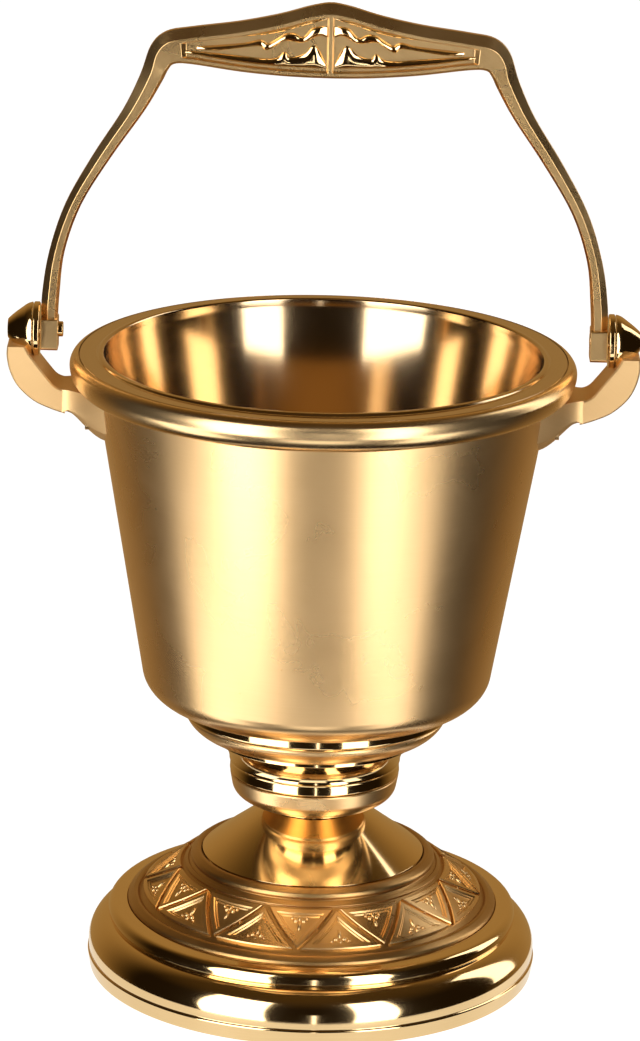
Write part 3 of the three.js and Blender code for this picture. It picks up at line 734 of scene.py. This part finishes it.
bm = bmesh.new()
outer_edge = smooth_row([(pivot_x, 0, pivot_z + z) for pivot_x, z in
                         ((102.3, -4.2), (102.4, -7.5), (101.3, -12.6), (98.6, -17.6), (93.5, -22.2),
                          (87.6, -24.9), (83.5, -26.2))], 5)
inner_edge = smooth_row([(pivot_x, 0, pivot_z + z) for pivot_x, z in
                         ((96.4, -4.2), (94.9, -7.0), (92.2, -10.6), (89.2, -14.4), (87.1, -16.8),
                          (84.9, -17.9), (82.6, -18.1))], 5)
loft(bm, [arm_section((outer.x, outer.z), (inner.x, inner.z))
          for outer, inner in zip(outer_edge, inner_edge)])
root_steps = 14
loft(bm, [root_section(step / root_steps) for step in range(root_steps + 1)])
knuckle = bmesh.new()
spin_outline(knuckle, [(0, 0, 0), (8.7, 0, 0.25), (8.3, 1.6, 1.0), (4.6, 6.6, 2.0), (3.0, 8.15, 1.2),
                       (0, 8.2, 0)], 64)
knuckle.transform(Matrix.Translation((disc_face * mm, 0, pivot_z * mm))
                  @ Matrix.Rotation(math.pi / 2, 4, "Y"))
satin_casting = metal("satin_casting", (0.94, 0.66, 0.35), (0.84, 0.56, 0.26), 0.46, 0.08, 0, 0.00001)
for side, turn in (("right", 0), ("left", math.pi)):
    for name, source, material in (("side_lug", bm, satin_casting),
                                   ("knuckle", knuckle, polished_brass)):
        half = source.copy()
        half.transform(Matrix.Rotation(turn, 4, "Z"))
        finish(made(f"{name}_{side}", half), material, "cast_brass", "bucket", f"lug_{side}")

# Four brass rivets hold the lugs from inside the shell.
for node in ("lug_rivet_right_1", "lug_rivet_right_2", "lug_rivet_left_1", "lug_rivet_left_2"):
    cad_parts[node].data.materials.clear()
    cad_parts[node].data.materials.append(satin_brass)

# ---- Thrust discs and pins ----
# A polished disc keeps each leg of the bail off its lug. The pins are turned brass; the
# left one stands a little proud inside its leg.
disc_thickness = (disc_high.x - disc_low.x) / mm
disc_radius = (disc_high.z - disc_low.z) / 2 / mm
pin_bore = 2.8
pin_radius = 2.5
for side, turn in (("right", 0), ("left", math.pi)):
    on_side = (Matrix.Rotation(turn, 4, "Z") @ Matrix.Translation((disc_low.x, 0, pivot_z * mm))
               @ Matrix.Rotation(math.pi / 2, 4, "Y"))
    bm = bmesh.new()
    spin_outline(bm, [(pin_bore, 0, 0.1), (disc_radius, 0, 0.45), (disc_radius, disc_thickness, 0.45),
                      (pin_bore, disc_thickness, 0.1)], 96)
    bm.transform(on_side)
    finish(made(f"disc_{side}", bm), polished_brass, "polished_brass", "bucket", f"thrust_disc_{side}")
    low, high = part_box(f"pivot_pin_{side}")
    pin_start = min(abs(low.x), abs(high.x)) - disc_low.x
    pin_end = max(abs(low.x), abs(high.x)) - disc_low.x
    bm = bmesh.new()
    spin_outline(bm, [(0, pin_start / mm, 0), (pin_radius, pin_start / mm, 0.35),
                      (pin_radius, pin_end / mm, 0.2), (0, pin_end / mm, 0)], 48)
    bm.transform(on_side)
    finish(made(f"pin_{side}", bm), polished_brass, "polished_brass", "bucket", f"pivot_pin_{side}")

# ---- Bail ----
# One casting, filed and polished: two curved legs with a sharp ridge, and a boat-shaped
# grip whose faces are sunk round long pointed leaves. Each foot is an eye for its pin.
bail_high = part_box("bail_handle")[1]
bail_peak = bail_high.z / mm - pivot_z - 0.15
leg_half_depth = 3
grip_half_depth = 4
sunk_depth = 1.3
outer_line = smooth_row([(x, 0, z) for x, z in (
    (91.7, 3.4), (91.5, 12), (89.3, 26), (84.2, 41.8), (75.6, 57.7), (66.0, 73.0), (60.6, 84.5),
    (57.3, 94.0),
    (52.4, 98.7), (44, 100.4), (29.1, 102.5), (16.5, 105.1), (7.5, 107.7), (3.2, 108.7),
    (1.0, bail_peak), (0, bail_peak))], 5)
inner_line = smooth_row([(x, 0, z) for x, z in (
    (86.4, 3.4), (85.9, 12), (84.3, 26), (79.0, 41.8), (69.5, 57.7), (59.0, 73.0), (53.6, 82.5),
    (51.6, 86.6),
    (49.6, 88.6), (44, 88.6), (29.1, 86.6), (16.5, 85.5), (7.5, 85.1), (3.2, 85.02),
    (1.0, 85), (0, 85))], 5)


def bail_section(outer, inner):
    """A section across the bail: a bevelled crest outside, a face sunk between rails on the
    grip and flat on the legs, and a narrow belly inside."""
    width = (outer - inner).length
    towards_grip = min(1, max(0, (outer.z - 80) / 12))
    depth = leg_half_depth + (grip_half_depth - leg_half_depth) * towards_grip
    crest = 1 - min(0.4, 3.1 / width)
    belly = min(0.16, 1.0 / width)
    span = crest - belly
    rail = min(1.0 / width, 0.28 * span)
    slope = min(0.4 / width, 0.1 * span)
    on_grip = inner.z > 84 and 0.9 < outer.x < 46.5
    sunk = 1 - (sunk_depth if on_grip else 0) / depth
    face = [(0, 0.55), (belly, 1), (belly + rail, 1), (belly + rail + slope, sunk),
            (crest - rail - slope, sunk), (crest - rail, 1), (crest, 1), (1, 0.3)]
    around = [(share, -side) for share, side in face] + face[::-1]
    return [inner + (outer - inner) * share + Vector((0, depth * side, pivot_z))
            for share, side in around]


bm = bmesh.new()
right_half = [bail_section(outer, inner) for outer, inner in zip(outer_line, inner_line)]
left_half = [[Vector((-place.x, place.y, place.z)) for place in section]
             for section in right_half[-2::-1]]
loft(bm, right_half + left_half)
bmesh.ops.recalc_face_normals(bm, faces=bm.faces)
ridges = [edge for edge in bm.edges if len(edge.link_faces) == 2
          and edge.calc_face_angle() > math.radians(20) and edge.calc_length() > 0.05 * mm]
bmesh.ops.bevel(bm, geom=ridges, offset=0.28 * mm, offset_type="OFFSET", segments=3, profile=0.5,
                affect="EDGES", material=-1, clamp_overlap=True)
finish(made("bail_casting", bm), cast_brass, "cast_brass", "bail", "bail_handle")


def height_at(line, x):
    """The height of a line of places where it passes an X place."""
    for one, following in zip(line, line[1:]):
        if min(one.x, following.x) <= x <= max(one.x, following.x) and one.x != following.x:
            return one.z + (following.z - one.z) * (x - one.x) / (following.x - one.x)
    return min(line, key=lambda place: abs(place.x - x)).z


panel_face = grip_half_depth - sunk_depth
leaf_root = panel_face - 0.4
leaf_foot = panel_face - 0.05


def leaf(bm, upper, lower, side, crown):
    """A long rounded leaf between two edges, raised from the sunk face of the grip."""
    upper = smooth_row([(x, 0, z) for x, z in upper], 4)
    lower = smooth_row([(x, 0, z) for x, z in lower], 4)
    start = max(upper[0].x, lower[0].x)
    end = min(upper[-1].x, lower[-1].x)
    steps = 64
    sections = []
    for step in range(steps + 1):
        x = start + (end - start) * step / steps
        top = height_at(upper, x) + pivot_z
        bottom = min(height_at(lower, x) + pivot_z, top - 0.35)
        tall = top - bottom
        fullness = min(1, 0.25 + tall / 2.4) * min(1, 0.3 + step / 6, 0.3 + (steps - step) / 6)
        raised = panel_face + (crown - panel_face) * fullness
        halfway = (panel_face + raised) / 2
        shoulder = (panel_face + 4 * raised) / 5
        sections.append([(x, side * y, bottom + tall * share) for y, share in (
            (leaf_root, 0), (leaf_foot, 0), (halfway, 0.08), (shoulder, 0.22), (raised, 0.42),
            (shoulder, 0.68), (halfway, 0.9), (leaf_foot, 1), (leaf_root, 1))])
    loft(bm, sections)


# An upper and a lower leaf with curled edges, and a thin vein along the top of the face.
leaves = (
    (((42.5, 94.6), (33.9, 95.4), (27, 96.2), (22.3, 97.3), (20, 96.2), (17.2, 97.6), (14.5, 99.3),
      (11.8, 99.7), (8.7, 98.5), (6, 101.3), (2.9, 102.1)),
     ((42.5, 93.4), (35.3, 93.4), (23.1, 95), (20.7, 93.6), (17.6, 95.1), (14.5, 96.9), (8.7, 96.4),
      (4.1, 98.7), (1.2, 98.3)), 4.0),
    (((46.5, 93.2), (41.7, 93.0), (26.2, 91.7), (20.7, 91.2), (16.6, 91.7), (14.6, 93.6), (12.9, 91.9),
      (8.7, 93), (6, 95.6), (4.1, 95.2), (1.6, 90.4)),
     ((46.5, 92.3), (41, 91.5), (33.9, 90.4), (20.3, 88.9), (10, 88.5), (1.6, 88.3)), 3.85),
    (((40.5, 97.4), (30, 98.6), (20, 99.9), (12, 102.0), (5, 104.2), (1.4, 105.2)),
     ((40.5, 96.9), (30, 97.9), (20, 98.9), (12, 100.9), (5, 103.1), (1.4, 104.0)), 3.7),
)
bm = bmesh.new()
for side in (-1, 1):
    for upper, lower, crown in leaves:
        leaf(bm, upper, lower, side, crown)
bmesh.ops.mirror(bm, geom=bm.verts[:] + bm.edges[:] + bm.faces[:], axis="X", merge_dist=-1)
finish(made("bail_leaves", bm), polished_brass, "cast_brass", "bail", "bail_handle")

# The eye at the foot of each leg: a block with rounded lower corners, bored for the pin.
eye_thickness = 5.6
eye_inside = 86.2
for side, turn in (("right", 0), ("left", math.pi)):
    bm = bmesh.new()
    outline = [bm.verts.new((0, y, z)) for y, z in ((-4.5, 4), (-4.5, -6.4), (4.5, -6.4), (4.5, 4))]
    for index, vert in enumerate(outline):
        bm.edges.new((vert, outline[(index + 1) % 4]))
    for vert, rounding in zip(outline, (0.6, 1.4, 1.4, 0.6)):
        bmesh.ops.bevel(bm, geom=[vert], offset=rounding, offset_type="OFFSET", segments=6, profile=0.5,
                        affect="VERTICES", material=-1)
    hole = bmesh.ops.create_circle(bm, segments=len(bm.verts), radius=pin_bore)["verts"]
    for vert in hole:
        vert.co = Vector((0, vert.co.x, vert.co.y))
    bmesh.ops.bridge_loops(bm, edges=bm.edges[:])
    grown = bmesh.ops.extrude_face_region(bm, geom=bm.faces[:])["geom"]
    for vert in grown:
        if isinstance(vert, bmesh.types.BMVert):
            vert.co.x = eye_thickness
    bmesh.ops.recalc_face_normals(bm, faces=bm.faces)
    crisp = [edge for edge in bm.edges
             if len(edge.link_faces) == 2 and edge.calc_face_angle() > math.radians(50)]
    bmesh.ops.bevel(bm, geom=crisp, offset=0.25, offset_type="OFFSET", segments=2, profile=0.5,
                    affect="EDGES", material=-1)
    bm.transform(Matrix.Rotation(turn, 4, "Z")
                 @ Matrix.Translation((eye_inside * mm, 0, pivot_z * mm)) @ Matrix.Scale(mm, 4))
    finish(made(f"bail_eye_{side}", bm), cast_brass, "cast_brass", "bail", "bail_handle")
